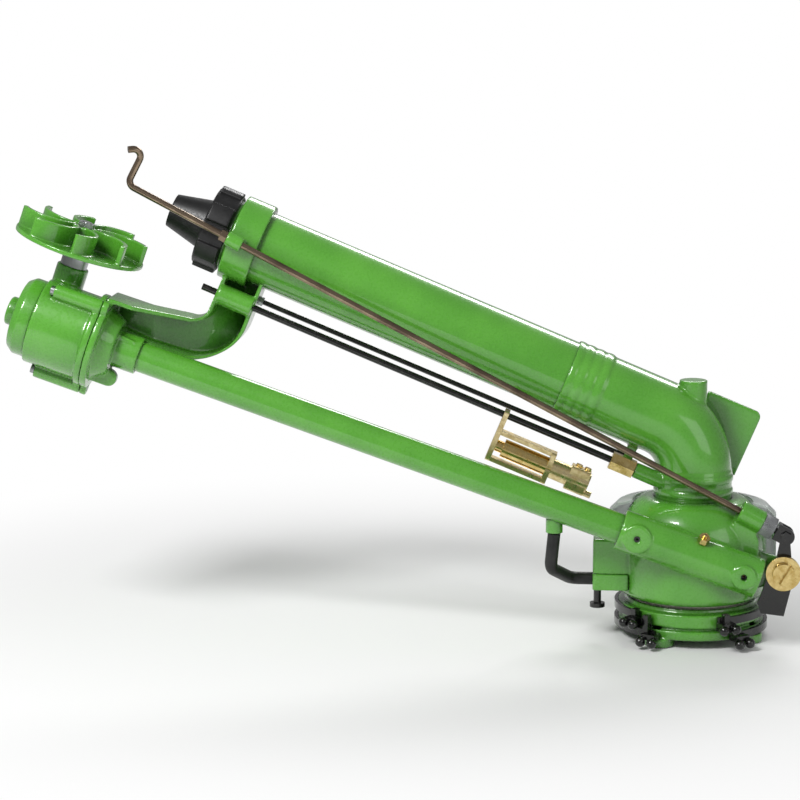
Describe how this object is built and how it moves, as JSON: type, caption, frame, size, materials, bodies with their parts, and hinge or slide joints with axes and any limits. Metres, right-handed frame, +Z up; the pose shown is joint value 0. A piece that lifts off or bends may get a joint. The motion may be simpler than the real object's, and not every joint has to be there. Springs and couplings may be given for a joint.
{
  "type": "turbine-driven gun sprinkler",
  "caption": "Turbine-driven gun sprinkler: flanged swivel base with sector stops, raised barrel and nozzle, side gearbox with cupped wheel, jet breaker rod and trip lever.",
  "frame": {"origin": "centre of the inlet flange's sealing face, on the swivel axis", "axes": "+Z up along the swivel axis, -X towards the nozzle in plan, -Y towards the drive tube, jet breaker rod and trip lever"},
  "size_m": [0.9353, 0.242, 0.5845],
  "materials": {
    "green_paint": "gloss",
    "black_plastic": "satin",
    "black_enamel": "gloss",
    "rubber": "satin",
    "brass": "satin",
    "bronze": "satin",
    "zinc": "satin",
    "passivated_steel": "satin",
    "steel": "satin",
    "clear_plastic": "gloss",
    "ivory_plastic": "satin",
    "aluminium": "satin"
  },
  "bodies": {
    "base": {"inlet_flange": "green_paint", "slide_ring": "ivory_plastic", "crown_gear": "bronze", "bearing_inner_race": "steel", "bearing_balls": "steel"},
    "upper_stop": {"upper_stop": "black_enamel"},
    "lower_stop": {"lower_stop": "black_enamel"},
    "head": {"turret_housing": "green_paint", "closing_plate": "green_paint", "retaining_ring": "zinc", "bearing_outer_race": "steel", "pressure_seal": "rubber", "elbow": "green_paint", "barrel_tube": "green_paint", "jet_straightener": "aluminium", "front_bracket": "green_paint", "nozzle": "black_plastic", "nozzle_gasket": "rubber", "nozzle_nut": "black_plastic", "drive_tube": "green_paint", "shaft_bushes": "bronze", "bush_screws": "black_enamel", "grease_nipple": "brass", "gearbox_case": "green_paint", "gearbox_cap": "green_paint", "gearbox_screws": "zinc", "wheel_bushes": "bronze", "shaft_collar": "zinc", "rear_cover": "clear_plastic", "latch_cap": "green_paint", "adjuster_bolt": "black_enamel", "hose_fitting": "green_paint", "bypass_elbow": "rubber", "lever_pivot": "brass", "link_nut": "zinc", "rod_guide_nut": "passivated_steel", "feed_tube": "black_enamel", "feed_nut": "brass", "tie_rod": "black_enamel", "tie_rod_nut": "zinc", "valve_cage": "brass", "valve_body": "brass", "valve_head": "brass", "valve_screws": "brass"},
    "turbine": {"turbine_wheel": "green_paint", "wheel_shaft": "steel", "gearbox_worm": "steel", "wheel_nut": "zinc"},
    "drive": {"drive_shaft": "steel", "worm_wheel": "bronze", "drive_worm": "steel"},
    "trip_lever": {"trip_lever": "black_enamel"},
    "link": {"link_fork": "black_enamel", "fork_bolt": "black_enamel"},
    "jet_rod": {"jet_rod": "passivated_steel"}
  },
  "joints": [
    {"name": "swivel", "type": "hinge", "parent": "base", "child": "head", "pos_m": [0, 0, 0.1], "axis": [0, 0, 1], "range_deg": [-20, 225]},
    {"name": "upper_stop_turn", "type": "hinge", "parent": "base", "child": "upper_stop", "pos_m": [0, 0, 0.035], "axis": [0, 0, 1], "range_deg": [-20, 0]},
    {"name": "lower_stop_turn", "type": "hinge", "parent": "base", "child": "lower_stop", "pos_m": [0, 0, 0.0155], "axis": [0, 0, 1], "range_deg": [0, 20]},
    {"name": "wheel_spin", "type": "hinge", "parent": "head", "child": "turbine", "pos_m": [-0.75578, -0.058, 0.3763], "axis": [0.3279, 0, 0.9447], "continuous": true},
    {"name": "drive_spin", "type": "hinge", "parent": "head", "child": "drive", "pos_m": [0, -0.086, 0.114], "axis": [-0.9447, 0, 0.3279], "continuous": true},
    {"name": "trip_swing", "type": "hinge", "parent": "head", "child": "trip_lever", "pos_m": [0.105, -0.06, 0.09], "axis": [0, 1, 0], "range_deg": [0, 12]},
    {"name": "link_slide", "type": "slide", "parent": "head", "child": "link", "axis": [0.8858, 0, -0.4641], "range_m": [0, 0.0097]},
    {"name": "jet_rod_turn", "type": "hinge", "parent": "head", "child": "jet_rod", "pos_m": [0.06, -0.06, 0.1585], "axis": [-0.8858, 0, 0.4641], "range_deg": [0, 90]}
  ],
  "couplings": [
    {"joint": "drive_spin", "follows": "wheel_spin", "ratio": 0.033333},
    {"joint": "link_slide", "follows": "trip_swing", "m_per_rad": 0.046}
  ]
}
